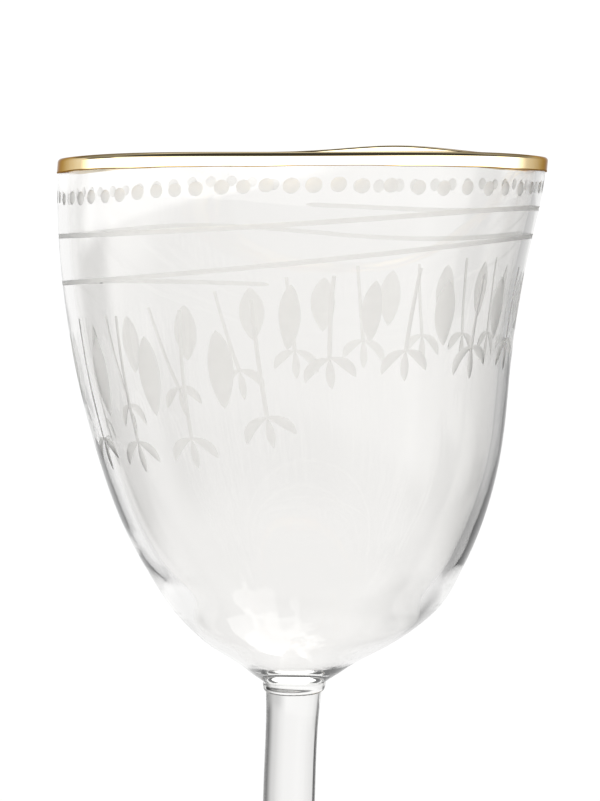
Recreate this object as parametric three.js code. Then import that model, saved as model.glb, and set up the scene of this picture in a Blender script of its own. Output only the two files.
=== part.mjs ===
// Hand-blown stemmed wine glass with a gilt rim.
// Millimetres, +Z up. The origin is on the table, under the centre of the rim.
// The glass is five pieces on one upright axis: a blown bowl, the fired gold on its lip,
// the small button of glass under the bowl, a drawn solid stem and a spun foot.

import * as THREE from 'three';

// Heights of the planes where one piece meets the next.
const TOTAL_HEIGHT = 148.75;
const BOWL_BOTTOM = 70.2;
const COLLAR_BOTTOM = 68.6;
const STEM_BOTTOM = 12;

// Radii where the pieces meet, the same on both sides of each joint.
const BOWL_SEAT_RADIUS = 4.75;
const STEM_TOP_RADIUS = 4.2;
const FOOT_NECK_RADIUS = 4.9;

// Lip and gilding.
const LIP_RADIUS = 35.85;
const LIP_WALL = 1.5;
const LIP_ROUND_OUTSIDE = 0.45;
const LIP_ROUND_INSIDE = 0.1;
const GILD_THICKNESS = 0.15;
const GILD_DEPTH_OUTSIDE = 1.9;
const GILD_DEPTH_INSIDE = 1.5;

// Foot.
const FOOT_RADIUS = 32.5;
const FOOT_EDGE = 1.6;
const REST_RING_INNER = 26;
const REST_RING_OUTER = 31.2;
const HOLLOW_HEIGHT = 2.2;

// How far the middle stands off the middle of the rim, along X: (height, shift).
const LEAN = [
  [0, -2.5], [14, -2.5], [35, -2.4], [53, -2.15], [62, -1.8], [69, -1.42], [74, -0.98],
  [79, -0.1], [83, 0.3], [88, 0.15], [95, -0.2], [104, -0.62], [112, -1.2], [118, -1.6],
  [124, -1.72], [131, -1.57], [137, -1.15], [142.5, -0.62], [150, 0.05],
];

const SIDES = 48;
const OUTSIDE_STEPS = 26;
const INSIDE_STEPS = 24;

function lean(height) {
  const last = LEAN.length - 1;
  let i = 0;
  while (i < last - 1 && height > LEAN[i + 1][0]) i += 1;
  const slope = (k) => {
    const before = LEAN[Math.max(k - 1, 0)];
    const after = LEAN[Math.min(k + 1, last)];
    return (after[1] - before[1]) / (after[0] - before[0]);
  };
  const [low, start] = LEAN[i];
  const [high, end] = LEAN[i + 1];
  const step = high - low;
  const t = (height - low) / step;
  const curve = new THREE.CubicBezierCurve(
    new THREE.Vector2(0, start),
    new THREE.Vector2(0, start + (slope(i) * step) / 3),
    new THREE.Vector2(0, end - (slope(i + 1) * step) / 3),
    new THREE.Vector2(0, end),
  );
  return curve.getPoint(t).y;
}

const at = (radius, height) => new THREE.Vector2(radius, height);
const smooth = (points, steps) => new THREE.SplineCurve(points).getPoints(steps);

// Turns a closed half section about the upright axis, then leans it.
function turned(section) {
  const geometry = new THREE.LatheGeometry(section, SIDES);
  geometry.rotateX(Math.PI / 2);
  const position = geometry.getAttribute('position');
  for (let i = 0; i < position.count; i += 1) {
    position.setX(i, position.getX(i) + lean(position.getZ(i)));
  }
  geometry.computeVertexNormals();
  return geometry;
}

// The lip from the outer edge of the gilding, over the top, to its inner edge.
function lip(proud) {
  const top = TOTAL_HEIGHT - GILD_THICKNESS;
  const points = [at(LIP_RADIUS + proud, TOTAL_HEIGHT - GILD_DEPTH_OUTSIDE)];
  const corner = (middle, round, from) => {
    for (let step = 0; step <= 3; step += 1) {
      const turn = from + (step / 3) * (Math.PI / 2);
      const reach = round + proud;
      points.push(at(middle + reach * Math.cos(turn), top - round + reach * Math.sin(turn)));
    }
  };
  corner(LIP_RADIUS - LIP_ROUND_OUTSIDE, LIP_ROUND_OUTSIDE, 0);
  corner(LIP_RADIUS - LIP_WALL + LIP_ROUND_INSIDE, LIP_ROUND_INSIDE, Math.PI / 2);
  points.push(at(LIP_RADIUS - LIP_WALL - proud, TOTAL_HEIGHT - GILD_DEPTH_INSIDE));
  return points;
}

function bowlSection() {
  const edge = lip(0);
  const outside = smooth([
    at(BOWL_SEAT_RADIUS, BOWL_BOTTOM),
    at(6.2, 71.2),
    at(9.0, 73.25),
    at(13.1, 75.7),
    at(16.85, 78.5),
    at(20.5, 82.2),
    at(23.2, 86.7),
    at(25.5, 91.2),
    at(27.35, 95.7),
    at(28.8, 100.2),
    at(30.85, 109.0),
    at(32.25, 117.9),
    at(33.5, 126.8),
    at(34.75, 135.6),
    at(35.65, 143.3),
    edge[0],
  ], OUTSIDE_STEPS);
  const inside = smooth([
    edge[edge.length - 1],
    at(34.17, 143.4),
    at(33.25, 135.8),
    at(31.95, 127.0),
    at(30.6, 118.1),
    at(29.1, 109.3),
    at(27.0, 100.7),
    at(25.5, 96.4),
    at(23.65, 92.1),
    at(21.35, 87.7),
    at(18.8, 83.6),
    at(15.5, 79.5),
    at(12.2, 76.95),
    at(8.1, 74.4),
    at(5.2, 72.6),
    at(2.6, 71.65),
    at(0, 71.4),
  ], INSIDE_STEPS);
  return [at(0, BOWL_BOTTOM), ...outside, ...edge.slice(1, -1), ...inside];
}

function gildingSection() {
  const film = lip(GILD_THICKNESS);
  return [...film, ...lip(0).reverse(), film[0].clone()];
}

function collarSection() {
  return [
    at(0, COLLAR_BOTTOM),
    at(STEM_TOP_RADIUS, COLLAR_BOTTOM),
    at(4.4, 68.75),
    at(4.57, 69.0),
    at(4.68, 69.45),
    at(BOWL_SEAT_RADIUS, BOWL_BOTTOM),
    at(0, BOWL_BOTTOM),
  ];
}

function stemSection() {
  const side = smooth([
    at(FOOT_NECK_RADIUS, STEM_BOTTOM),
    at(4.35, 15),
    at(4.0, 21),
    at(3.87, 38),
    at(3.92, 56),
    at(4.03, 66),
    at(STEM_TOP_RADIUS, COLLAR_BOTTOM),
  ], 14);
  return [at(0, STEM_BOTTOM), ...side, at(0, COLLAR_BOTTOM)];
}

function footSection() {
  const top = smooth([
    at(FOOT_RADIUS, FOOT_EDGE),
    at(26, 2.7),
    at(18, 4.2),
    at(11, 6.4),
    at(6.8, 9.2),
    at(FOOT_NECK_RADIUS, STEM_BOTTOM),
  ], 14);
  const hollow = smooth([at(0, HOLLOW_HEIGHT), at(12, 1.8), at(REST_RING_INNER, 0)], 6);
  return [
    ...hollow,
    at(REST_RING_OUTER, 0),
    at(FOOT_RADIUS - 0.3, 0.35),
    at(FOOT_RADIUS, 0.8),
    ...top,
    at(0, STEM_BOTTOM),
  ];
}

const clearGlass = { color: 0xeff0ee, roughness: 0.03, metalness: 0, transparent: true, opacity: 0.35 };
const firedGold = { color: 0xd8a860, roughness: 0.16, metalness: 1 };

function piece(name, section, finish) {
  const mesh = new THREE.Mesh(turned(section), new THREE.MeshStandardMaterial(finish));
  mesh.name = name;
  return mesh;
}

const glass = new THREE.Group();
glass.add(piece('bowl', bowlSection(), clearGlass));
glass.add(piece('rim_gilding', gildingSection(), firedGold));
glass.add(piece('stem_collar', collarSection(), clearGlass));
glass.add(piece('stem', stemSection(), clearGlass));
glass.add(piece('foot', footSection(), clearGlass));

export default glass;
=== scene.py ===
import math

import bpy
import numpy as np
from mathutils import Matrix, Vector
from mathutils.geometry import delaunay_2d_cdt


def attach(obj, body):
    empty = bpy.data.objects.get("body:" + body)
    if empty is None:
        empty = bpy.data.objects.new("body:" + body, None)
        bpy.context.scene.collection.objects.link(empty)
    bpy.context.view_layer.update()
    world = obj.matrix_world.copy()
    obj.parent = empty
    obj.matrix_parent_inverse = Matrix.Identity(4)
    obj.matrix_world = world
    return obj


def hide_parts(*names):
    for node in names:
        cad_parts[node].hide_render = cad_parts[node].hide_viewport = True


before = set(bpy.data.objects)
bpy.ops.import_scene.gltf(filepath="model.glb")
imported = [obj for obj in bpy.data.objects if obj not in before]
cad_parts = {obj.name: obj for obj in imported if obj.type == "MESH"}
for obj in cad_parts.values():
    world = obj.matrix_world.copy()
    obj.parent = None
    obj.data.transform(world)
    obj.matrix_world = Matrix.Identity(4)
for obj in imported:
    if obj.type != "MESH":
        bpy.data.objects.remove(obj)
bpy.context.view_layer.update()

# Shapes are worked out in millimetres and written to the meshes in metres.
MM = 0.001
SEED = 7

# ---------------------------------------------------------------- sizes, as in the CAD model
TOTAL_HEIGHT = 148.75
BOWL_BOTTOM = 70.2
COLLAR_BOTTOM = 68.6
STEM_BOTTOM = 12.0
BOWL_SEAT_RADIUS = 4.75
STEM_TOP_RADIUS = 4.2
FOOT_NECK_RADIUS = 4.9
LIP_RADIUS = 35.85
LIP_WALL = 1.5
LIP_ROUND_OUTSIDE = 0.45
LIP_ROUND_INSIDE = 0.1
GILD_THICKNESS = 0.15
GILD_DEPTH_OUTSIDE = 1.9
GILD_DEPTH_INSIDE = 1.5
GILD_GAP = 0.02
FOOT_RADIUS = 32.5
REST_RING_INNER = 26.0
REST_RING_OUTER = 31.2
HOLLOW_HEIGHT = 2.2

# Half sections: (radius, height), bottom to top outside, top to bottom inside.
OUTSIDE = (
    (BOWL_SEAT_RADIUS, BOWL_BOTTOM), (5.35, 70.65), (6.2, 71.2), (9.0, 73.25), (13.1, 75.7),
    (16.85, 78.5), (20.5, 82.2), (23.2, 86.7), (25.5, 91.2), (27.35, 95.7), (28.8, 100.2),
    (30.85, 109.0), (32.25, 117.9), (33.5, 126.8), (34.75, 135.6), (35.65, 143.3),
    (LIP_RADIUS, TOTAL_HEIGHT - GILD_DEPTH_OUTSIDE),
)
INSIDE = (
    (LIP_RADIUS - LIP_WALL, TOTAL_HEIGHT - GILD_DEPTH_INSIDE), (34.17, 143.4), (33.25, 135.8),
    (31.95, 127.0), (30.6, 118.1), (29.1, 109.3), (27.0, 100.7), (25.5, 96.4), (23.65, 92.1),
    (21.35, 87.7), (18.8, 83.6), (15.5, 79.5), (12.2, 76.95), (8.1, 74.4), (5.2, 72.6),
    (2.6, 71.65), (0.0, 71.4),
)

# How far the centre stands off the middle of the rim, along X: (height, shift).
LEAN = (
    (0, -2.5), (14, -2.5), (35, -2.4), (53, -2.15), (62, -1.8), (69, -1.42), (74, -0.98), (79, -0.1),
    (83, 0.3), (88, 0.15), (95, -0.2), (104, -0.62), (112, -1.2), (118, -1.6), (124, -1.72),
    (131, -1.57), (137, -1.15), (142.5, -0.62), (150, 0.05),
)

# ---------------------------------------------------------------- meshes in general
AROUND = 240
AROUND_GILDING = 360
AROUND_STEM = 160
WELDED_PER_MM = 20000
SHARP_ANGLE = math.radians(40)
# The lip's wave dies out from the top down to this height.
WAVE_LOW = 136
# Two rings this far from a corner keep the flat walls' smooth normals level.
CORNER_RING = 0.03

# ---------------------------------------------------------------- ornament
# The ornament is laid out on a plane: the bowl unrolled at this radius, angles along it.
UNROLLED = 32.0
BAND_LOW = 101.5
BAND_HIGH = 145.4
CUT_DEPTH = 0.08
GRID_PITCH = 1.4

DOT_RADIUS = 0.92
# The dots are closer together on one side: (number of the dot, its angle).
DOT_SPACING = ((0, -65.1), (12, -1.9), (15, 13.3), (24, 74.0), (63, 294.9))
# Their row wanders: (angle, height).
DOT_ROW = (
    (-180, 144.0), (-152, 144.6), (-134, 143.45), (-104, 142.9), (-68, 142.4), (-38, 143.4), (2, 144.6),
    (42, 144.0), (75, 143.9), (112, 144.2), (149, 144.3), (180, 144.0),
)

LINE_START = 178.0
LINE_HALF_WIDTH = 0.34
# The thin line winds down twice: (degrees wound from its start, height).
LINE = (
    (0, 140.8), (35, 139.9), (70, 140.4), (110, 141.1), (180, 139.2), (255, 136.9), (300, 136.7),
    (332, 137.3), (375, 135.7), (405, 135.5), (465, 136.9), (540, 133.9), (615, 130.1),
    (660, 129.0), (711, 127.8),
)
# Sprays: (angle and height of the stem's top, angle and height of the joint of the petals).
SPRAYS = (
    (9.4, 132.3, 9.2, 120.8), (30.6, 133.2, 28.6, 121.6), (51.6, 132.0, 50.4, 121.6),
    (71.0, 132.6, 70.0, 122.0), (90.0, 133.0, 88.6, 121.8), (108.8, 132.9, 106.6, 121.4),
    (125.0, 132.6, 122.4, 120.8), (143.0, 131.5, 139.6, 120.0), (162.0, 131.0, 159.4, 118.7),
    (182.2, 129.0, 180.0, 116.8), (203.0, 126.8, 197.0, 113.8), (225.5, 124.6, 218.0, 111.6),
    (246.0, 123.8, 242.2, 109.6), (269.0, 124.2, 267.4, 108.4), (294.0, 125.3, 294.6, 107.8),
    (312.8, 126.2, 313.2, 108.1), (332.7, 127.4, 332.0, 109.3), (350.6, 129.0, 353.2, 112.6),
)
# Buds hang between the sprays: (angle, height of the middle, length, width).
BUDS = (
    (359.4, 126.6, 9.1, 2.9), (19.3, 127.3, 8.6, 2.8), (39.6, 126.8, 9.3, 3.5), (60.5, 127.0, 9.0, 3.4),
    (79.5, 127.4, 8.8, 3.5), (97.5, 127.8, 8.6, 3.6), (115.3, 127.9, 8.6, 3.8), (132.2, 127.2, 8.7, 3.9),
    (151.4, 125.9, 9.0, 3.8), (171.4, 124.6, 8.8, 4.0), (192.3, 123.0, 8.6, 4.2), (213.1, 120.3, 8.8, 4.2),
    (234.9, 119.0, 9.0, 4.3), (257.0, 118.0, 9.6, 4.1), (280.5, 117.5, 10.6, 3.9),
    (302.7, 117.4, 11.5, 3.8), (322.0, 118.0, 11.3, 3.8), (342.2, 119.3, 11.0, 3.7),
)


def smooth_curve(knots, values):
    """A natural cubic spline through the values, as a function of the knot coordinate."""
    x = np.asarray(knots, float)
    y = np.asarray(values, float)
    step = np.diff(x)
    count = len(x)
    system = np.eye(count)
    right = np.zeros(count)
    for i in range(1, count - 1):
        system[i, i - 1:i + 2] = step[i - 1], 2 * (step[i - 1] + step[i]), step[i]
        right[i] = 6 * ((y[i + 1] - y[i]) / step[i] - (y[i] - y[i - 1]) / step[i - 1])
    bend = np.linalg.solve(system, right)

    def at(q):
        q = np.asarray(q, float)
        k = np.clip(np.searchsorted(x, q) - 1, 0, count - 2)
        s = (q - x[k]) / step[k]
        straight = (1 - s) * y[k] + s * y[k + 1]
        curved = ((1 - s) ** 3 - (1 - s)) * bend[k] + (s ** 3 - s) * bend[k + 1]
        return straight + step[k] ** 2 / 6 * curved

    return at


def path_curve(points):
    """A smooth curve through points, as a function of the share of its length."""
    points = np.asarray(points, float)
    run = np.concatenate([[0], np.cumsum(np.linalg.norm(np.diff(points, axis=0), axis=1))])
    run /= run[-1]
    axes = [smooth_curve(run, points[:, k]) for k in range(points.shape[1])]
    return lambda share: np.stack([axis(share) for axis in axes], axis=-1)


def fade(value, low, high):
    """0 below low, 1 above high, smooth between."""
    t = np.clip((np.asarray(value, float) - low) / (high - low), 0, 1)
    return t * t * (3 - 2 * t)


def bell(value, centre, width):
    """1 at the centre, falling off on both sides."""
    return np.exp(-(((value - centre) / width) ** 2))


lean = smooth_curve([p[0] for p in LEAN], [p[1] for p in LEAN])


def rim_wave(theta):
    """The lip isn't quite level: higher at the front and back than at the sides."""
    turns = 0.05 + 0.1 * np.sin(theta) - 0.075 * np.cos(theta)
    turns = turns + 0.42 * np.cos(2 * theta) - 0.15 * np.cos(4 * theta)
    from_high_spot = (theta - math.radians(155) + math.pi) % (2 * math.pi) - math.pi
    return turns + 1.0 * bell(from_high_spot, 0, math.radians(20))


def placed(theta, radius, height):
    """A point of the glass from its angle (0 faces -Y, a quarter turn faces +X), radius and height."""
    theta, radius, height = np.broadcast_arrays(theta, radius, height)
    x = radius * np.sin(theta) + lean(height)
    y = -radius * np.cos(theta)
    z = height + rim_wave(theta) * fade(height, WAVE_LOW, TOTAL_HEIGHT)
    return np.stack([x, y, z], axis=-1)


outside_radius = smooth_curve([p[1] for p in OUTSIDE], [p[0] for p in OUTSIDE])
inside_path = path_curve(INSIDE)


def optic_outside(theta, height):
    """Faint flats left by the mould on the lower bowl."""
    return 0.05 * bell(height, 84, 9) * np.cos(6 * theta + 0.9)


def optic_inside(theta, height):
    """The inner wall is thicker on one side and low down at the sides, and ripples."""
    ripple = 0.05 * bell(height, 90, 16) * np.cos(8 * theta + 0.5)
    heavy = 0.12 * np.cos(theta + 1.9) * bell(height, 116, 26)
    low = 0.45 * bell(height, 84, 7) * np.sin(theta) ** 2
    return ripple + heavy + low + 0.05 * np.cos(3 * theta + height / 9) * bell(height, 110, 30)


def outer_point(theta, height, depth=0.0):
    radius = outside_radius(height) + optic_outside(theta, height)
    return placed(theta, radius - depth, height)


def outer_normal(theta, height):
    nudge = 0.02
    across = outer_point(theta + nudge / 30, height) - outer_point(theta - nudge / 30, height)
    along = outer_point(theta, height + nudge) - outer_point(theta, height - nudge)
    normal = np.cross(across, along)
    return normal / np.linalg.norm(normal, axis=-1, keepdims=True)


def lip(proud, steps=6):
    """(radius, height) over the lip, from the outer edge of the gilding to its inner edge."""
    top = TOTAL_HEIGHT - GILD_THICKNESS
    turn = np.linspace(0, math.pi / 2, steps + 1)
    reach = LIP_ROUND_OUTSIDE + proud
    outer = np.stack([
        LIP_RADIUS - LIP_ROUND_OUTSIDE + reach * np.cos(turn),
        top - LIP_ROUND_OUTSIDE + reach * np.sin(turn),
    ], axis=-1)
    reach = LIP_ROUND_INSIDE + proud
    inner = np.stack([
        LIP_RADIUS - LIP_WALL + LIP_ROUND_INSIDE - reach * np.sin(turn),
        top - LIP_ROUND_INSIDE + reach * np.cos(turn),
    ], axis=-1)
    first = (LIP_RADIUS + proud, TOTAL_HEIGHT - GILD_DEPTH_OUTSIDE)
    last = (LIP_RADIUS - LIP_WALL - proud, TOTAL_HEIGHT - GILD_DEPTH_INSIDE)
    below = (0, CORNER_RING)
    return np.vstack([[first], [outer[0] - below], outer, inner, [inner[-1] - below], [last]])


# ---------------------------------------------------------------- meshes
class Shell:
    """Gathers points, faces and materials of one closed piece, welding points that coincide."""

    def __init__(self):
        self.points = []
        self.known = {}
        self.faces = []
        self.finish = []
        self.normals = {}

    def add(self, point):
        key = tuple(int(round(c * WELDED_PER_MM)) for c in point)
        if key not in self.known:
            self.known[key] = len(self.points)
            self.points.append(tuple(float(c) for c in point))
        return self.known[key]

    def add_all(self, points):
        return [self.add(p) for p in points]

    def face(self, corners, finish):
        corners = [c for i, c in enumerate(corners) if c != corners[i - 1]]
        if len(corners) > 2:
            self.faces.append(corners)
            self.finish.append(finish)

    def ring_wall(self, rings, finish):
        """Quads between rings of point numbers. Rings run anticlockwise seen from above,
        and upwards on a face that looks outwards."""
        for low, high in zip(rings[:-1], rings[1:]):
            count = len(low)
            for j in range(count):
                k = (j + 1) % count
                self.face([low[j], low[k], high[k], high[j]], finish)

    def disc(self, ring, centre, finish, up):
        middle = self.add(centre)
        for j in range(len(ring)):
            k = (j + 1) % len(ring)
            corners = [ring[j], ring[k], middle] if up else [ring[k], ring[j], middle]
            self.face(corners, finish)

    def build(self, name, materials):
        mesh = bpy.data.meshes.new(name)
        mesh.from_pydata([tuple(c * MM for c in p) for p in self.points], [], self.faces)
        for material in materials:
            mesh.materials.append(material)
        mesh.polygons.foreach_set("material_index", np.array(self.finish, np.int32))
        mesh.polygons.foreach_set("use_smooth", np.ones(len(self.faces), bool))
        mesh.update()
        piece = bpy.data.objects.new(name, mesh)
        bpy.context.scene.collection.objects.link(piece)
        return piece


def split_normals(piece, shell, rough):
    """Normals that don't cross from one finish to another, so that cuts keep crisp edges.

    Away from the rough finish, shell.normals are used where they are given."""
    mesh = piece.data
    area_normals = np.zeros((len(shell.faces), 3))
    for i, polygon in enumerate(mesh.polygons):
        area_normals[i] = np.array(polygon.normal) * polygon.area
    sums = {}
    for finish in set(shell.finish):
        sums[finish] = np.zeros((len(shell.points), 3))
    for i, corners in enumerate(shell.faces):
        for c in corners:
            sums[shell.finish[i]][c] += area_normals[i]
    out = []
    for i, corners in enumerate(shell.faces):
        finish = shell.finish[i]
        for c in corners:
            if finish != rough and c in shell.normals:
                normal = shell.normals[c]
            else:
                normal = sums[finish][c]
            out.append(tuple(np.array(normal) / (np.linalg.norm(normal) + 1e-15)))
    mesh.normals_split_custom_set(out)


def angles_round(count):
    return -math.pi + 2 * math.pi * np.arange(count) / count


ANGLES = angles_round(AROUND)


def turned_rings(shell, section, angles=ANGLES):
    """Rings of points for a (radius, height) section."""
    return [shell.add_all(placed(angles, radius, height)) for radius, height in section]


# Finishes, as places in a piece's list of materials: on the bowl, the gilding and the other glass.
CLEAR, GROUND, FUSED = 0, 1, 2
# The darker edge finish of the gilding is worn thin gold together with painted shade along the gold's
# edges.
GOLD, WORN_AND_SHADED_EDGE = 0, 1
PLAIN, JOINED = 0, 1


# ---------------------------------------------------------------- engraving
NO_WIDTH = 0.02
WIDE_STROKE = 0.4
SEAM_MARGIN = 0.6


class Cut:
    """One stroke of the wheel: a spine with a half width along it, in unrolled millimetres.

    An end with no width is a point."""

    def __init__(self, spine, width):
        self.spine = np.asarray(spine, float)
        self.width = np.asarray(width, float)

    def moved(self, shift):
        return Cut(self.spine + (shift, 0), self.width)

    def outline(self):
        """A closed polygon round the stroke."""
        along = np.gradient(self.spine, axis=0)
        along /= np.linalg.norm(along, axis=1, keepdims=True)
        side = np.stack([-along[:, 1], along[:, 0]], axis=1)
        left = self.spine + side * self.width[:, None]
        right = self.spine - side * self.width[:, None]
        if self.width[0] < NO_WIDTH:
            left, right = left[1:], right[1:]
            left = np.vstack([self.spine[:1], left])
        if self.width[-1] < NO_WIDTH:
            left = np.vstack([left[:-1], self.spine[-1:]])
            right = right[:-1]
        return np.vstack([left, right[::-1]])

    def depth_at(self, points):
        """How deep the cut is at each point: 1 on the spine, 0 outside."""
        deepest = np.zeros(len(points))
        low = self.spine.min(0) - self.width.max()
        high = self.spine.max(0) + self.width.max()
        near = np.nonzero(((points >= low) & (points <= high)).all(1))[0]
        if len(near) == 0:
            return deepest
        gap = np.linalg.norm(points[near, None] - self.spine[None], axis=2)
        share = 1 - (gap / np.maximum(self.width, 0.05)) ** 2
        deepest[near] = np.clip(share.max(1), 0, 1)
        return deepest


def scale_at(height):
    """Plane millimetres for one true millimetre round the bowl at a height."""
    return UNROLLED / float(outside_radius(height))


def local(angle, height, shape):
    """Points of a shape, in true millimetres about an angle and height, in the unrolled plane."""
    shape = np.asarray(shape, float)
    across = math.radians(angle) * UNROLLED + shape[:, 0] * scale_at(height)
    return np.stack([across, height + shape[:, 1]], axis=1)


def leaf(spine_points, half_width, fullest, steps=14):
    """A pointed stroke along a curve through the spine points, widest at the share `fullest`."""
    share = np.linspace(0, 1, steps + 1)
    spine = path_curve(spine_points)(share)
    power = math.log(0.5) / math.log(fullest)
    width = half_width * np.sin(math.pi * share ** power) ** 0.75
    return Cut(spine, width)


def jitter(random, size):
    """A random amount, up to half the size either way."""
    return size * (random.random() - 0.5)


def dot_cuts(random):
    cuts = []
    row = smooth_curve([p[0] for p in DOT_ROW], [p[1] for p in DOT_ROW])
    for k in range(DOT_SPACING[-1][0]):
        angle = np.interp(k, *zip(*DOT_SPACING)) + jitter(random, 0.9)
        theta = math.radians(angle)
        wanted = float(row((angle + 180) % 360 - 180)) + jitter(random, 0.2)
        height = wanted - float(rim_wave(theta) * fade(wanted, WAVE_LOW, TOTAL_HEIGHT))
        radius = (DOT_RADIUS + 0.08 * math.cos(theta)) * (1 + jitter(random, 0.14))
        reach = np.linspace(-1, 1, 9)
        spine = local(angle, height, [(0, radius * r) for r in np.sin(reach * math.pi / 2)])
        width = radius * np.sqrt(np.clip(1 - np.sin(reach * math.pi / 2) ** 2, 0, 1))
        cuts.append(Cut(spine, width))
    return cuts


def line_cuts():
    """The wound line, in pieces short enough to lie once round the bowl."""
    height = smooth_curve([p[0] for p in LINE], [p[1] for p in LINE])
    last = LINE[-1][0]
    pieces = 24
    cuts = []
    for k in range(pieces):
        wound = np.linspace(last * k / pieces, last * (k + 1) / pieces, 33)
        plane = np.stack([np.radians(LINE_START - wound) * UNROLLED, height(wound)], axis=1)
        width = LINE_HALF_WIDTH * np.minimum(1, 0.25 + np.minimum(wound, last - wound) / 2.5)
        cuts.append(Cut(plane, width))
    return cuts


def spray_cuts(random):
    """A stem with three petals at its foot for each spray."""
    cuts = []
    for top_angle, top, angle, joint in SPRAYS:
        upper = local(top_angle, top, [(0, 0)])[0]
        lower = local(angle, joint, [(0, 0)])[0]
        bow = jitter(random, 0.25)
        share = np.linspace(0, 1, 22)
        spine = upper + (lower - upper) * share[:, None]
        spine[:, 0] += bow * np.sin(math.pi * share)
        cuts.append(Cut(spine, 0.27 + 0.06 * share))
        tilt = math.atan2(lower[0] - upper[0], upper[1] - lower[1]) * 0.6
        turn = np.array([[math.cos(tilt), -math.sin(tilt)], [math.sin(tilt), math.cos(tilt)]])
        petals = (
            ((0.15, 0.25), (-1.5, -0.45), (-2.75, -1.6), (-3.45, -3.1 - 0.8 * random.random())),
            ((-0.15, 0.25), (1.5, -0.25), (2.8, -1.1), (3.75, -2.2 - 0.5 * random.random())),
            ((0.0, 0.2), (0.05, -1.4), (0.15, -2.8), (0.3, -4.1 - 0.4 * random.random())),
        )
        for spine_points, half in zip(petals, (0.74, 0.74, 0.66)):
            shape = local(angle, joint, np.array(spine_points) @ turn.T)
            cuts.append(leaf(shape, half, 0.56))
    return cuts


def bud_cuts(random):
    """A plump pointed leaf for each bud."""
    cuts = []
    for angle, middle, length, width in BUDS:
        bow = jitter(random, 0.35)
        swing = jitter(random, 0.5)
        half = length / 2
        shape = local(angle, middle, [(-swing, half), (bow, half / 3), (bow, -half / 3), (swing, -half)])
        cuts.append(leaf(shape, width / 2, 0.47, steps=20))
    return cuts


def inside_polygon(points, polygon):
    """True for each point inside the polygon, by crossings."""
    result = np.zeros(len(points), bool)
    low, high = polygon.min(0), polygon.max(0)
    near = np.nonzero(((points >= low) & (points <= high)).all(1))[0]
    if len(near) == 0:
        return result
    x, y = points[near, 0][:, None], points[near, 1][:, None]
    x0, y0 = polygon[:, 0], polygon[:, 1]
    x1, y1 = np.roll(x0, -1), np.roll(y0, -1)
    spans = (y0 > y) != (y1 > y)
    rise = np.where(y1 == y0, 1, y1 - y0)
    crossing = x < x0 + (y - y0) * (x1 - x0) / rise
    result[near] = ((spans & crossing).sum(1) % 2) == 1
    return result


def all_cuts():
    """Every stroke, repeated where it crosses the seam of the unrolled plane."""
    random = np.random.default_rng(SEED)
    cuts = dot_cuts(random) + line_cuts() + spray_cuts(random) + bud_cuts(random)
    turn = 2 * math.pi * UNROLLED
    out = []
    for cut in cuts:
        first = math.floor((cut.spine[:, 0].mean() + turn / 2) / turn)
        for shift in (-first, -first - 1, -first + 1):
            copy = cut.moved(shift * turn)
            edge = copy.width.max() + 0.5
            if copy.spine[:, 0].max() > -turn / 2 - edge and copy.spine[:, 0].min() < turn / 2 + edge:
                out.append(copy)
    return out


def grid_between(points, half_turn):
    """A hexagonal grid for the open glass, clear of the points given."""
    busy = {(round(u / GRID_PITCH), round(v / GRID_PITCH)) for u, v in points}
    rows = int((BAND_HIGH - BAND_LOW) / (GRID_PITCH * 0.87))
    grid = []
    for row in range(1, rows):
        v = BAND_LOW + (BAND_HIGH - BAND_LOW) * row / rows
        for col in range(int(2 * half_turn / GRID_PITCH)):
            u = -half_turn + (col + 0.5 + 0.5 * (row % 2)) * GRID_PITCH
            taken = (round(u / GRID_PITCH), round(v / GRID_PITCH)) in busy
            if not taken and abs(u) <= half_turn - SEAM_MARGIN:
                grid.append((u, v))
    return grid


def inner_points(cut):
    """Points inside a stroke: its spine and, where it is wide, a row on each side."""
    spine = cut.spine[1:-1]
    half = cut.width[1:-1, None] * 0.55
    along = np.gradient(cut.spine, axis=0)[1:-1]
    side = np.stack([-along[:, 1], along[:, 0]], axis=1)
    side /= np.linalg.norm(side, axis=1, keepdims=True)
    wide = cut.width[1:-1] > WIDE_STROKE
    return np.vstack([spine, (spine + side * half)[wide], (spine - side * half)[wide]])


def unrolled_mesh(cuts, outlines):
    """The band as triangles in the unrolled plane, with edges along the outlines of the strokes."""
    half_turn = math.pi * UNROLLED
    points = []
    edges = []

    def add_loop(loop, closed=True):
        start = len(points)
        points.extend(tuple(p) for p in loop)
        count = len(loop)
        edges.extend((start + i, start + i + 1) for i in range(count - 1))
        if closed:
            edges.append((start + count - 1, start))

    for height in (BAND_LOW, BAND_HIGH):
        across = np.linspace(-half_turn, half_turn, AROUND + 1)
        add_loop([(u, height) for u in across], closed=False)
    for side in (-half_turn, half_turn):
        rise = np.linspace(BAND_LOW, BAND_HIGH, 41)
        add_loop([(side, v) for v in rise], closed=False)
    for outline in outlines:
        add_loop(outline)
    for cut in cuts:
        points.extend(tuple(p) for p in inner_points(cut))
    points.extend(grid_between(points, half_turn))

    flat, _, triangles, _, _, _ = delaunay_2d_cdt([Vector(p) for p in points], edges, [], 0, 1e-5)
    flat = np.array([tuple(p) for p in flat])
    triangles = np.array([tuple(t) for t in triangles])
    centre = flat[triangles].mean(1)
    kept = (np.abs(centre[:, 0]) < half_turn) & (centre[:, 1] > BAND_LOW) & (centre[:, 1] < BAND_HIGH)
    return flat, triangles[kept]


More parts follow.
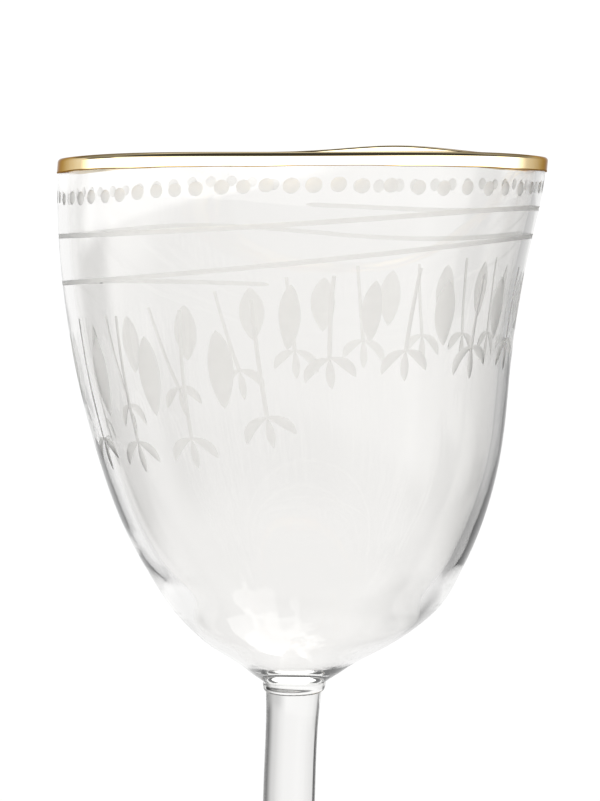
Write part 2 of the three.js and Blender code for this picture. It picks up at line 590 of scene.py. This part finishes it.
def engraved_band(shell):
    """The band of the outer wall that carries the ornament, sunk inside the strokes."""
    cuts = all_cuts()
    outlines = [cut.outline() for cut in cuts]
    flat, triangles = unrolled_mesh(cuts, outlines)
    centre = flat[triangles].mean(1)
    is_cut = np.zeros(len(triangles), bool)
    for outline in outlines:
        is_cut |= inside_polygon(centre, outline)
    used = np.unique(triangles)
    depth = np.zeros(len(flat))
    for cut in cuts:
        depth[used] = np.maximum(depth[used], cut.depth_at(flat[used]))
    # Points that touch open glass lie on its surface.
    depth[np.unique(triangles[~is_cut])] = 0

    theta = flat[:, 0] / UNROLLED
    positions = outer_point(theta, flat[:, 1], CUT_DEPTH * depth)
    normals = outer_normal(theta, flat[:, 1])
    numbers = {}
    for i in used:
        numbers[i] = shell.add(positions[i])
        shell.normals[numbers[i]] = normals[i]
    for corners, ground in zip(triangles, is_cut):
        shell.face([numbers[c] for c in corners], GROUND if ground else CLEAR)


# ---------------------------------------------------------------- pieces
def inner_rings(shell, first):
    """Rings down the inner wall, from the ring given at the lip to the last before its middle."""
    share = np.linspace(0, 1, 70) ** 0.9
    rings = [first]
    for radius, height in inside_path(share)[1:-1]:
        ripple = optic_inside(ANGLES, height) * fade(radius, 4, 16) * (1 - fade(height, 140, 147))
        rings.append(shell.add_all(placed(ANGLES, radius - ripple, height)))
    return rings


def bowl(materials):
    """The blown bowl: plain below, the engraved band, the lip under the gold, then the inside."""
    shell = Shell()
    low = [shell.add_all(outer_point(ANGLES, z)) for z in np.linspace(BOWL_BOTTOM, BAND_LOW, 40)]
    shell.ring_wall(low, CLEAR)
    engraved_band(shell)
    edge = lip(0)
    high = [shell.add_all(outer_point(ANGLES, z)) for z in np.linspace(BAND_HIGH, edge[0][1], 3)]
    shell.ring_wall(high, CLEAR)
    over = [high[-1]] + turned_rings(shell, edge[1:])
    shell.ring_wall(over, FUSED)
    inner = inner_rings(shell, over[-1])
    shell.ring_wall(inner, CLEAR)
    shell.disc(inner[-1], placed(0.0, 0.0, INSIDE[-1][1]), CLEAR, up=True)
    shell.disc(low[0], placed(0.0, 0.0, BOWL_BOTTOM), FUSED, up=False)
    piece = shell.build("engraved_bowl", materials)
    split_normals(piece, shell, GROUND)
    return piece


def painted_edge(angles):
    """How far the hand-painted lower edge of the gold wanders, outside and inside the lip."""
    outside = -0.35 * np.sin(angles) ** 2 + 0.06 * np.sin(5 * angles + 1) + 0.03 * np.sin(11 * angles)
    outside = outside + 0.02 * np.sin(23 * angles + 2)
    inside = 0.08 * np.sin(7 * angles + 2) + 0.05 * np.sin(17 * angles)
    return outside, inside


def gilding(materials):
    """The fired gold over the lip, with a darker line along its painted edges: partly worn thin gold,
    partly painted shade.
    """
    shell = Shell()
    angles = angles_round(AROUND_GILDING)
    outside, inside = painted_edge(angles)
    face = lip(GILD_THICKNESS)
    underside = lip(GILD_GAP)
    # Height of the dark edge line: worn gold with painted shade, taller at the sides where the edge is
    # seen side-on.
    worn_and_shaded_line = 0.09 + 0.12 * np.sin(angles) ** 2

    def ring(point, up, wave):
        return shell.add_all(placed(angles, point[0], point[1] + up + wave))

    edge = [
        ring(underside[0], 0, outside), ring(face[0] - (0.04, 0), -0.01, outside),
        ring(face[0], 0.02, outside), ring(face[0], worn_and_shaded_line, outside),
    ]
    shell.ring_wall(edge, WORN_AND_SHADED_EDGE)
    front = [edge[-1], ring(face[0], 0.9, outside * 0.3)]
    front += [ring(point, 0, 0) for point in face[1:-1]]
    front.append(ring(face[-1], 0.16, inside))
    shell.ring_wall(front, GOLD)
    closing = [front[-1], ring(face[-1], 0, inside), ring(underside[-1], 0, inside)]
    shell.ring_wall(closing, WORN_AND_SHADED_EDGE)
    back = [closing[-1]] + [ring(point, 0, 0) for point in underside[::-1][1:-1]] + [edge[0]]
    shell.ring_wall(back, GOLD)
    piece = shell.build("gilt_rim", materials)
    piece.data.set_sharp_from_angle(angle=SHARP_ANGLE)
    return piece


def solid_of_turn(name, section, materials, around=AROUND_STEM, fused_below=True):
    """A piece turned from a section that runs bottom to top. Its flat ends are fused to others."""
    shell = Shell()
    rings = turned_rings(shell, section, angles_round(around))
    shell.ring_wall(rings, PLAIN)
    shell.disc(rings[0], placed(0.0, 0.0, section[0][1]), JOINED if fused_below else PLAIN, up=False)
    shell.disc(rings[-1], placed(0.0, 0.0, section[-1][1]), JOINED, up=True)
    piece = shell.build(name, materials)
    piece.data.set_sharp_from_angle(angle=SHARP_ANGLE)
    return piece


def collar_section():
    path = path_curve([
        (STEM_TOP_RADIUS, COLLAR_BOTTOM), (4.4, 68.75), (4.57, 69.0), (4.68, 69.45),
        (BOWL_SEAT_RADIUS, BOWL_BOTTOM),
    ])
    return path(np.linspace(0, 1, 12))


def stem_section():
    path = path_curve([
        (FOOT_NECK_RADIUS, STEM_BOTTOM), (4.35, 15), (4.0, 21), (3.87, 38), (3.92, 56), (4.03, 66),
        (STEM_TOP_RADIUS, COLLAR_BOTTOM),
    ])
    return path(np.linspace(0, 1, 50))


def foot_section():
    """From the middle of the hollow underside, over the rest ring and round the edge, to the neck."""
    under = path_curve([(1.0, HOLLOW_HEIGHT), (12, 1.8), (REST_RING_INNER, 0.0)])
    edge = path_curve([
        (REST_RING_OUTER, 0.0), (FOOT_RADIUS - 0.3, 0.35), (FOOT_RADIUS, 0.8), (FOOT_RADIUS, 1.3),
    ])
    top = path_curve([
        (FOOT_RADIUS, 1.3), (FOOT_RADIUS - 0.35, 1.75), (26, 2.9), (18, 4.3), (11, 6.5), (6.8, 9.3),
        (FOOT_NECK_RADIUS, STEM_BOTTOM),
    ])
    shares = [np.linspace(0, 1, count) for count in (24, 8, 60)]
    return np.vstack([under(shares[0]), edge(shares[1]), top(shares[2])[1:]])


# ---------------------------------------------------------------- materials
GLASS_IOR = 1.5


def new_material(name):
    material = bpy.data.materials.new(name)
    material.use_nodes = True
    material.node_tree.nodes.clear()
    return material, material.node_tree.nodes, material.node_tree.links


def node(nodes, kind, **settings):
    made = nodes.new(kind)
    for key, value in settings.items():
        setattr(made, key, value)
    return made


def noise_at(nodes, links, place, scale, detail):
    noise = node(nodes, "ShaderNodeTexNoise")
    noise.inputs["Scale"].default_value = scale
    noise.inputs["Detail"].default_value = detail
    links.new(place, noise.inputs["Vector"])
    return noise.outputs["Fac"]


def tinted_noise(nodes, links, scale, detail, low, high):
    """A slow change between two near colours, with its noise and the place on the piece."""
    place = node(nodes, "ShaderNodeTexCoord").outputs["Object"]
    level = noise_at(nodes, links, place, scale, detail)
    ramp = node(nodes, "ShaderNodeValToRGB")
    ramp.color_ramp.elements[0].color = (*low, 1)
    ramp.color_ramp.elements[1].color = (*high, 1)
    links.new(level, ramp.inputs["Fac"])
    return ramp.outputs["Color"], level, place


def bump_from(nodes, links, place, scale, detail, strength, distance):
    """Fine unevenness of the surface; the distance is in metres."""
    bump = node(nodes, "ShaderNodeBump")
    bump.inputs["Strength"].default_value = strength
    bump.inputs["Distance"].default_value = distance
    links.new(noise_at(nodes, links, place, scale, detail), bump.inputs["Height"])
    return bump.outputs["Normal"]


def surface(nodes, links, shader):
    out = node(nodes, "ShaderNodeOutputMaterial")
    links.new(shader.outputs[0], out.inputs["Surface"])


def glass_shader(nodes, links, frosting, roughness, colour, normal):
    """Glass that scatters the share `frosting` of the light instead of passing it."""
    shader = node(nodes, "ShaderNodeBsdfPrincipled")
    shader.inputs["Transmission Weight"].default_value = 1 - frosting
    shader.inputs["IOR"].default_value = GLASS_IOR
    shader.inputs["Roughness"].default_value = roughness
    links.new(colour, shader.inputs["Base Color"])
    links.new(normal, shader.inputs["Normal"])
    return shader


def let_lamps_through(nodes, links, shader, tint):
    """Lamps shine through the glass, so that it stands on a light floor without a black shadow."""
    path = node(nodes, "ShaderNodeLightPath")
    clear = node(nodes, "ShaderNodeBsdfTransparent")
    clear.inputs["Color"].default_value = (*tint, 1)
    mix = node(nodes, "ShaderNodeMixShader")
    links.new(path.outputs["Is Shadow Ray"], mix.inputs["Fac"])
    links.new(shader.outputs[0], mix.inputs[1])
    links.new(clear.outputs[0], mix.inputs[2])
    surface(nodes, links, mix)


def clear_glass():
    """Fire-polished glass with a faint warm grey tint and hardly any ripple."""
    material, nodes, links = new_material("clear_glass")
    colour, _, place = tinted_noise(nodes, links, 22, 2, (0.972, 0.967, 0.956), (0.984, 0.979, 0.970))
    ripple = bump_from(nodes, links, place, 90, 2, 0.25, 0.00006)
    shader = glass_shader(nodes, links, 0.0, 0.0, colour, ripple)
    let_lamps_through(nodes, links, shader, (0.93, 0.94, 0.93))
    return material


def ground_glass():
    """The matt, finely pitted surface that the engraver's wheel leaves."""
    material, nodes, links = new_material("ground_glass")
    colour, _, place = tinted_noise(nodes, links, 600, 4, (0.78, 0.765, 0.735), (0.88, 0.865, 0.835))
    pits = bump_from(nodes, links, place, 5200, 3, 0.35, 0.00005)
    shader = glass_shader(nodes, links, 0.08, 0.42, colour, pits)
    let_lamps_through(nodes, links, shader, (0.8, 0.8, 0.78))
    return material


def fused_joint():
    """Where two pieces were joined hot there is no surface, only a faint trace in the glass."""
    material, nodes, links = new_material("fused_joint")
    colour, _, _ = tinted_noise(nodes, links, 700, 3, (0.985, 0.99, 0.98), (1.0, 1.0, 1.0))
    clear = node(nodes, "ShaderNodeBsdfTransparent")
    links.new(colour, clear.inputs["Color"])
    surface(nodes, links, clear)
    return material


def fired_gold(name, dark, light, rim, rough):
    """Gold between two colours, with another at grazing angles; rough is its mean roughness."""
    material, nodes, links = new_material(name)
    colour, level, place = tinted_noise(nodes, links, 900, 4, dark, light)
    shader = node(nodes, "ShaderNodeBsdfPrincipled")
    shader.inputs["Metallic"].default_value = 1
    shader.inputs["Specular Tint"].default_value = (*rim, 1)
    spread = node(nodes, "ShaderNodeMapRange")
    spread.inputs["To Min"].default_value = rough * 0.7
    spread.inputs["To Max"].default_value = rough * 1.5
    links.new(level, spread.inputs["Value"])
    links.new(spread.outputs["Result"], shader.inputs["Roughness"])
    links.new(colour, shader.inputs["Base Color"])
    links.new(bump_from(nodes, links, place, 700, 2, 0.12, 0.00002), shader.inputs["Normal"])
    surface(nodes, links, shader)
    return material


# ---------------------------------------------------------------- stage
# Brightness is 1 for plain white. Colour ramps stop at 1, so they hold shares of BRIGHTEST.
BRIGHTEST = 4.0
# The light round the glass near the horizon: (degrees from +Y towards +X, brightness).
SURROUND = (
    (-180, 0.6), (-125, 0.5), (-112, 0.6), (-104, 1.03), (-82, 1.03), (-78, 0.1), (-59, 0.12),
    (-54.5, 1.03), (18, 1.05), (35, 0.8), (50, 0.3), (65, 0.05), (100, 0.1), (125, 0.35),
    (155, 0.5), (180, 0.6),
)
# The ceiling starts at these elevations and, behind the glass, is lit from the second pair.
CEILING_FROM = (15, 21)
LIT_FROM = (42, 62)
DARK_CEILING = 0.04
BACK_CEILING = 0.3
LIT_CEILING = 0.8
# The bright strip on the horizon: its strength, and the elevations where it is gone and is full.
HORIZON = 2.6
HORIZON_BEHIND = 0.9
HORIZON_EDGE = (8, 4)

# What the glass and the gold see of the floor, a little way off and further away:
# (degrees from +Y towards +X, brightness).
FLOOR_MIDDLE = (
    (-180, 0.5), (-130, 0.45), (-118, 0.1), (-104, 0.1), (-98, 0.85), (-82, 0.85), (-76, 0.08),
    (-55, 0.05), (-51, 0.88), (-38, 0.9), (-12, 0.98), (9, 0.96), (20, 0.85), (35, 0.6), (50, 0.2),
    (62, 0.05), (85, 0.08), (108, 0.3), (118, 0.78), (152, 0.78), (165, 0.55), (180, 0.5),
)
FLOOR_FAR = (
    (-180, 0.6), (-125, 0.5), (-112, 0.6), (-104, 0.9), (-79, 0.9), (-74, 0.15), (-56, 0.15),
    (-48, 0.8), (-35, 0.95), (9, 1.0), (20, 0.7), (50, 0.4), (62, 0.05), (95, 0.05), (110, 0.3),
    (120, 0.8), (152, 0.8), (165, 0.65), (180, 0.6),
)
# The same close to the foot, whatever the direction: (metres from the middle, brightness).
FLOOR_NEAR = ((0.0, 1.1), (0.06, 1.0), (0.095, 0.93))
# Metres from the middle between which each part gives way to the next.
NEAR_TO_MIDDLE = (0.11, 0.2)
MIDDLE_TO_FAR = (0.36, 0.46)
FAR_TO_HORIZON = (1.1, 1.7)
# A patch of strong light on the table beside the foot.
GLARE_MIDDLE = (-0.026, -0.004, 0.0)
GLARE_RADIUS = 0.036
GLARE_RAGGED = 0.05
GLARE_LIGHT = 2.0

# The floor that the camera sees: matt near the glass, then plain white.
FLOOR_LIGHT = 1.04
MATT_TO_WHITE = (0.07, 0.2)
PINHOLE = 0.0001
FLOOR_RADIUS = 8.0
CARDS_RADIUS = 7.9


def steps_up(nodes, links, value, edge, bottom=0.0, top=1.0):
    """A smooth step of a value from bottom to top, between the two values of the edge."""
    made = node(nodes, "ShaderNodeMapRange", interpolation_type="SMOOTHSTEP")
    made.inputs["From Min"].default_value, made.inputs["From Max"].default_value = edge
    made.inputs["To Min"].default_value = bottom
    made.inputs["To Max"].default_value = top
    links.new(value, made.inputs["Value"])
    return made.outputs["Result"]


def rises(nodes, links, height, elevations):
    """A smooth step between two elevations in degrees, from the height of a direction."""
    return steps_up(nodes, links, height, [math.sin(math.radians(e)) for e in elevations])


def arithmetic(nodes, links, operation, first, second):
    made = node(nodes, "ShaderNodeMath", operation=operation)
    for socket, value in zip(made.inputs, (first, second)):
        if isinstance(value, (int, float)):
            socket.default_value = value
        else:
            links.new(value, socket)
    return made.outputs[0]


def vector_maths(nodes, links, operation, vector):
    """A vector turned into its length or its direction."""
    made = node(nodes, "ShaderNodeVectorMath", operation=operation)
    links.new(vector, made.inputs[0])
    return made.outputs["Value" if operation == "LENGTH" else "Vector"]


def parts(nodes, links, vector):
    split = node(nodes, "ShaderNodeSeparateXYZ")
    links.new(vector, split.inputs[0])
    return split.outputs


def blend_of(nodes, links, share, first, second):
    """The first colour, giving way to the second as the share rises."""
    mix = node(nodes, "ShaderNodeMix", data_type="RGBA")
    links.new(share, mix.inputs["Factor"])
    links.new(first, mix.inputs["A"])
    links.new(second, mix.inputs["B"])
    return mix.outputs["Result"]


def brighter_of(nodes, links, first, second):
    mix = node(nodes, "ShaderNodeMix", data_type="RGBA", blend_type="LIGHTEN")
    mix.inputs["Factor"].default_value = 1
    links.new(first, mix.inputs["A"])
    links.new(second, mix.inputs["B"])
    return mix.outputs["Result"]


def greys(nodes, links, value, levels):
    """Brightness from a value between 0 and 1: (value, brightness), as a share of BRIGHTEST."""
    ramp = node(nodes, "ShaderNodeValToRGB")
    stops = ramp.color_ramp.elements
    for i, (position, level) in enumerate(levels):
        stop = stops[i] if i < 2 else stops.new(position)
        stop.position = position
        stop.color = (level / BRIGHTEST,) * 3 + (1,)
    links.new(value, ramp.inputs["Fac"])
    return ramp.outputs["Color"]


def azimuth_ring(nodes, links, direction, levels):
    """Brightness by direction round the upright axis, as a share of BRIGHTEST."""
    angle = arithmetic(nodes, links, "ARCTAN2", direction["X"], direction["Y"])
    share = node(nodes, "ShaderNodeMapRange")
    share.inputs["From Min"].default_value = -math.pi
    share.inputs["From Max"].default_value = math.pi
    links.new(angle, share.inputs["Value"])
    stops = [((degrees + 180) / 360, level) for degrees, level in levels]
    return greys(nodes, links, share.outputs["Result"], stops)


def horizon(nodes, links, toward_back):
    """The bright strip, except behind the glass. It turns the gold white; glass sees it plain white."""
    behind, front = HORIZON_BEHIND / BRIGHTEST, HORIZON / BRIGHTEST
    strip = steps_up(nodes, links, toward_back, (0.62, 0.4), behind, front)
    path = node(nodes, "ShaderNodeLightPath")
    dimmed = steps_up(nodes, links, path.outputs["Is Transmission Ray"], (0, 1), 1, 1 / HORIZON)
    return arithmetic(nodes, links, "MULTIPLY", strip, dimmed)


def ceiling(nodes, links, direction):
    """Dark in front, brighter behind the glass and brightest high up there."""
    overhead = rises(nodes, links, direction["Z"], LIT_FROM)
    overhead = arithmetic(nodes, links, "MULTIPLY", overhead, (LIT_CEILING - BACK_CEILING) / BRIGHTEST)
    overhead = arithmetic(nodes, links, "ADD", overhead, (BACK_CEILING - DARK_CEILING) / BRIGHTEST)
    behind = steps_up(nodes, links, direction["Y"], (0.0, 0.35))
    lit = arithmetic(nodes, links, "MULTIPLY", overhead, behind)
    return arithmetic(nodes, links, "ADD", lit, DARK_CEILING / BRIGHTEST)


def studio_world():
    world = bpy.data.worlds.new("studio")
    bpy.context.scene.world = world
    world.use_nodes = True
    nodes, links = world.node_tree.nodes, world.node_tree.links
    nodes.clear()
    direction = parts(nodes, links, node(nodes, "ShaderNodeTexCoord").outputs["Generated"])
    ring = azimuth_ring(nodes, links, direction, SURROUND)
    low = rises(nodes, links, direction["Z"], HORIZON_EDGE)
    strip = arithmetic(nodes, links, "MULTIPLY", low, horizon(nodes, links, direction["Y"]))
    walls = brighter_of(nodes, links, ring, strip)
    above = rises(nodes, links, direction["Z"], CEILING_FROM)
    back = node(nodes, "ShaderNodeBackground")
    back.inputs["Strength"].default_value = BRIGHTEST
    light = blend_of(nodes, links, above, walls, ceiling(nodes, links, direction))
    links.new(light, back.inputs["Color"])
    out = node(nodes, "ShaderNodeOutputWorld")
    links.new(back.outputs[0], out.inputs["Surface"])


def disc(name, radius, level):
    """A flat round sheet under the foot, with a pinhole at its middle."""
    angles = np.linspace(0, 2 * math.pi, 97)[:-1]
    corners = [(r * math.sin(a), r * math.cos(a), level) for r in (PINHOLE, radius) for a in angles]
    count = len(angles)
    faces = [[j, count + j, count + (j + 1) % count, (j + 1) % count] for j in range(count)]
    mesh = bpy.data.meshes.new(name)
    mesh.from_pydata(corners, [], faces)
    mesh.flip_normals()
    piece = bpy.data.objects.new(name, mesh)
    bpy.context.scene.collection.objects.link(piece)
    return piece


def floor():
    """A pale sweep, matt and softly lit round the glass and evenly bright further out."""
    piece = disc("floor", FLOOR_RADIUS, -0.0002)
    material, nodes, links = new_material("pale_floor")
    distance = vector_maths(nodes, links, "LENGTH", node(nodes, "ShaderNodeTexCoord").outputs["Object"])
    glow = node(nodes, "ShaderNodeEmission")
    glow.inputs["Strength"].default_value = FLOOR_LIGHT
    matt = node(nodes, "ShaderNodeBsdfDiffuse")
    matt.inputs["Color"].default_value = (0.86, 0.86, 0.855, 1)
    mix = node(nodes, "ShaderNodeMixShader")
    links.new(steps_up(nodes, links, distance, MATT_TO_WHITE), mix.inputs["Fac"])
    links.new(matt.outputs[0], mix.inputs[1])
    links.new(glow.outputs[0], mix.inputs[2])
    surface(nodes, links, mix)
    piece.data.materials.append(material)


def with_glare(nodes, links, place, below):
    """Lays the glare, with its ragged edge, over the light of the near floor."""
    from_middle = node(nodes, "ShaderNodeVectorMath", operation="DISTANCE")
    from_middle.inputs[1].default_value = GLARE_MIDDLE
    links.new(place, from_middle.inputs[0])
    ragged = arithmetic(nodes, links, "MULTIPLY", noise_at(nodes, links, place, 55, 3), GLARE_RAGGED)
    reach = arithmetic(nodes, links, "ADD", from_middle.outputs["Value"], ragged)
    edge = GLARE_RADIUS + GLARE_RAGGED / 2
    patch = node(nodes, "ShaderNodeMix", data_type="RGBA")
    links.new(steps_up(nodes, links, reach, (edge + 0.001, edge - 0.001)), patch.inputs["Factor"])
    links.new(below, patch.inputs["A"])
    patch.inputs["B"].default_value = (GLARE_LIGHT / BRIGHTEST,) * 3 + (1,)
    return patch.outputs["Result"]


def light_of_cards(nodes, links, place):
    """From the foot outwards: bright with the glare, two rings of cards, then the horizon's strip."""
    distance = vector_maths(nodes, links, "LENGTH", place)
    share = arithmetic(nodes, links, "DIVIDE", distance, NEAR_TO_MIDDLE[1])
    near = greys(nodes, links, share, [(m / NEAR_TO_MIDDLE[1], level) for m, level in FLOOR_NEAR])
    near = with_glare(nodes, links, place, near)
    direction = parts(nodes, links, vector_maths(nodes, links, "NORMALIZE", place))
    middle = azimuth_ring(nodes, links, direction, FLOOR_MIDDLE)
    far = azimuth_ring(nodes, links, direction, FLOOR_FAR)
    strip = horizon(nodes, links, direction["Y"])
    strip = arithmetic(nodes, links, "MULTIPLY", steps_up(nodes, links, distance, FAR_TO_HORIZON), strip)
    far = brighter_of(nodes, links, far, strip)
    beyond = blend_of(nodes, links, steps_up(nodes, links, distance, MIDDLE_TO_FAR), middle, far)
    return blend_of(nodes, links, steps_up(nodes, links, distance, NEAR_TO_MIDDLE), near, beyond)


def reflector():
    """Cards on the floor that only the glass and the gold see."""
    piece = disc("reflector", CARDS_RADIUS, -0.0001)
    material, nodes, links = new_material("cards")
    glow = node(nodes, "ShaderNodeEmission")
    glow.inputs["Strength"].default_value = BRIGHTEST
    place = node(nodes, "ShaderNodeTexCoord").outputs["Object"]
    links.new(light_of_cards(nodes, links, place), glow.inputs["Color"])
    surface(nodes, links, glow)
    piece.data.materials.append(material)
    piece.visible_camera = False
    piece.visible_diffuse = False
    piece.visible_shadow = False


def softbox():
    """Lights the floor round the glass; the glass itself shows only the surroundings."""
    data = bpy.data.lights.new("softbox", "AREA")
    data.shape = "RECTANGLE"
    data.size = 0.5
    data.size_y = 0.35
    data.energy = 7
    lamp = bpy.data.objects.new("softbox", data)
    lamp.location = (-0.15, 0.35, 0.85)
    aim = Vector((0, 0, 0)) - lamp.location
    lamp.rotation_euler = aim.to_track_quat("-Z", "Y").to_euler()
    lamp.visible_glossy = False
    lamp.visible_transmission = False
    bpy.context.scene.collection.objects.link(lamp)


EYE_DISTANCE = 396.0
EYE_HEIGHT = 147.9
EYE_SIDE = -0.52
LOOK_DOWN = math.radians(5.136)
LENS = 120.27
SENSOR = 36


def camera():
    data = bpy.data.cameras.new("camera")
    data.lens = LENS
    data.sensor_width = SENSOR
    data.clip_start = 0.01
    data.clip_end = 50
    eye = bpy.data.objects.new("camera", data)
    eye.location = (EYE_SIDE * MM, -EYE_DISTANCE * MM, EYE_HEIGHT * MM)
    eye.rotation_euler = (math.pi / 2 - LOOK_DOWN, 0, 0)
    bpy.context.scene.collection.objects.link(eye)
    bpy.context.scene.camera = eye


# ---------------------------------------------------------------- putting it together
def keep(piece, replaced):
    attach(piece, "root")
    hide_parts(replaced)


camera()
studio_world()
floor()
reflector()
softbox()

glass = clear_glass()
ground = ground_glass()
joint = fused_joint()
gold = fired_gold("fired_gold", (1.0, 0.80, 0.45), (1.0, 0.88, 0.62), (0.35, 0.22, 0.10), 0.05)
# Dark brown gold for the gilding's edges: worn thin gold, and painted shade along the gold's lower edge.
gold_edge = fired_gold("gold_edge", (0.20, 0.12, 0.05), (0.45, 0.28, 0.12), (0.5, 0.35, 0.2), 0.35)

keep(bowl([glass, ground, joint]), "bowl")
keep(gilding([gold, gold_edge]), "rim_gilding")
collar = solid_of_turn("merese_collar", collar_section(), [glass, joint])
keep(collar, "stem_collar")
stem = solid_of_turn("drawn_stem", stem_section(), [glass, joint])
keep(stem, "stem")
foot = solid_of_turn("spun_foot", foot_section(), [glass, joint], AROUND, fused_below=False)
keep(foot, "foot")

scene = bpy.context.scene
scene.view_settings.view_transform = "Standard"
scene.cycles.max_bounces = 24
scene.cycles.transmission_bounces = 24
scene.cycles.glossy_bounces = 12
scene.cycles.transparent_max_bounces = 24
